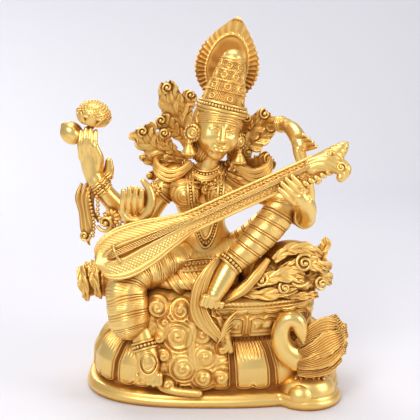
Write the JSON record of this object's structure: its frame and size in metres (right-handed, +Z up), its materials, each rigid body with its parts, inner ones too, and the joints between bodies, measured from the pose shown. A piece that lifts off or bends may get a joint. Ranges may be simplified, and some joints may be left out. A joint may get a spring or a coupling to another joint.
{
  "type": "hindu deity statue",
  "caption": "Cast brass statuette of a seated four-armed goddess playing a lute on a lotus throne, with a swan at her feet.",
  "frame": {"origin": "on the flat underside, below the middle of the throne", "axes": "+Z up, front of the statue towards -Y, the lute's head and the swan towards +X"},
  "size_m": [0.203, 0.12, 0.2627],
  "materials": {
    "polished_brass": "cast, hand chased and polished",
    "shaded_brass": "cast, darkened with patina"
  },
  "bodies": {
    "root": {"plinth": "polished_brass", "base_plate": "shaded_brass", "lotus_drum": "polished_brass", "lotus_petals": "polished_brass", "waist_band": "shaded_brass", "throne_drum": "polished_brass", "throne_petals": "polished_brass", "seat": "polished_brass", "cloud_scrolls": "polished_brass", "foliage_scroll": "polished_brass", "foliage_finial": "polished_brass", "bolster": "polished_brass", "hips": "polished_brass", "torso": "polished_brass", "waist_belt": "polished_brass", "necklaces": "polished_brass", "sash": "polished_brass", "right_leg": "polished_brass", "right_foot": "polished_brass", "left_leg": "polished_brass", "left_foot": "polished_brass", "anklets": "polished_brass", "head": "polished_brass", "hair": "polished_brass", "earrings": "polished_brass", "crown": "polished_brass", "crown_band": "polished_brass", "halo": "polished_brass", "front_right_arm": "polished_brass", "front_right_hand": "polished_brass", "front_left_arm": "polished_brass", "front_left_hand": "polished_brass", "rear_right_arm": "polished_brass", "rear_right_hand": "polished_brass", "rear_left_arm": "polished_brass", "rear_left_hand": "polished_brass", "bangles": "polished_brass", "lotus_bloom": "polished_brass", "lotus_bud": "polished_brass", "prayer_beads": "polished_brass", "lute_bowl": "polished_brass", "lute_neck": "polished_brass", "lute_frets": "shaded_brass", "lute_bridge": "shaded_brass", "lute_head": "polished_brass", "lute_pegs": "polished_brass", "scarf_right": "polished_brass", "scarf_left": "polished_brass", "swan_mound": "polished_brass", "swan_legs": "polished_brass", "swan_body": "polished_brass", "swan_neck": "polished_brass", "swan_wing": "polished_brass", "swan_tail": "polished_brass"}
  },
  "joints": []
}
